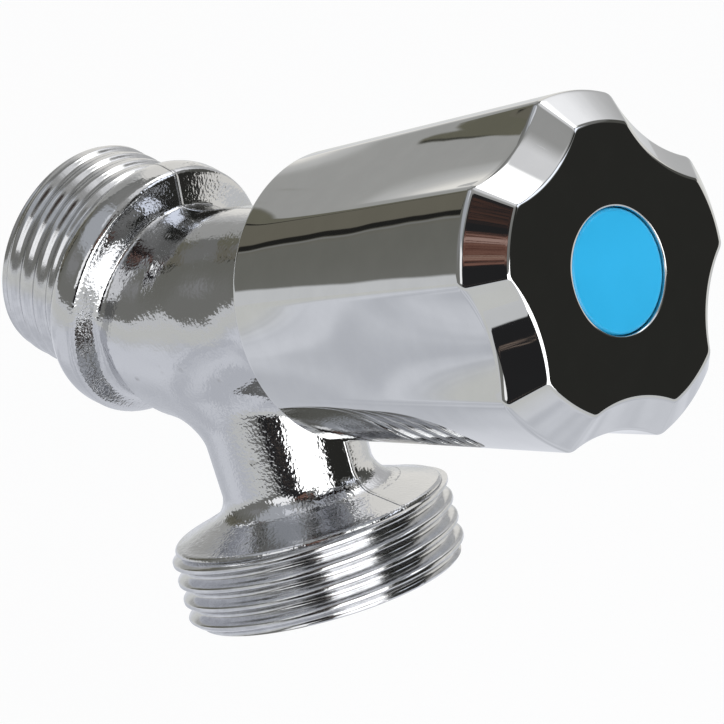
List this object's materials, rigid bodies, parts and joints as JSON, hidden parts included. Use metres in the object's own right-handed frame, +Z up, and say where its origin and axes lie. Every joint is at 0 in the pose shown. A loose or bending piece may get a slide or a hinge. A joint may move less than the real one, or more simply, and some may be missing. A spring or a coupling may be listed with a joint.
{
  "type": "washing machine valve",
  "caption": "Chromed brass washing machine valve: wall inlet thread with round collar, leaning lobed handle with a blue index disc, and a downward hose outlet thread.",
  "frame": {"origin": "on the inlet axis at the collar's wall side face, where the male inlet thread ends", "axes": "+X out of the wall along the inlet, +Z up, the head and the outlet lie in the XZ plane"},
  "size_m": [0.0709, 0.0299, 0.0635],
  "materials": {
    "body_chrome": "chrome plated over a slightly wavy cast brass skin",
    "handle_chrome": "mirror polished chrome plate",
    "turned_brass": "turned brass",
    "seal_rubber": "black seal rubber",
    "seal_fibre": "red fibre gasket board",
    "slip_plastic": "white slip plastic",
    "screw_steel": "stainless steel",
    "index_blue": "glossy blue moulded plastic"
  },
  "bodies": {
    "body": {"valve_body": "body_chrome", "bonnet": "turned_brass", "bonnet_seal": "seal_fibre"},
    "handle": {"handle": "handle_chrome", "handle_screw": "screw_steel", "index_disc": "index_blue", "spindle": "turned_brass", "spindle_o_ring_inner": "seal_rubber", "spindle_o_ring_outer": "seal_rubber", "thrust_washer": "slip_plastic", "spindle_circlip": "screw_steel"},
    "cone": {"valve_cone": "turned_brass", "cone_o_ring": "seal_rubber", "seat_washer": "seal_rubber", "washer_plate": "turned_brass", "washer_screw": "screw_steel"}
  },
  "joints": [
    {"name": "handle_turn", "type": "hinge", "parent": "body", "child": "handle", "pos_m": [0.01541, 0, 0.00302], "axis": [0.9018, 0, 0.4321], "range_deg": [0, 450]},
    {"name": "cone_lift", "type": "slide", "parent": "body", "child": "cone", "axis": [0.9018, 0, 0.4321], "range_m": [0, 0.00401]}
  ],
  "couplings": [
    {"joint": "cone_lift", "follows": "handle_turn", "m_per_rad": 0.0005093}
  ]
}
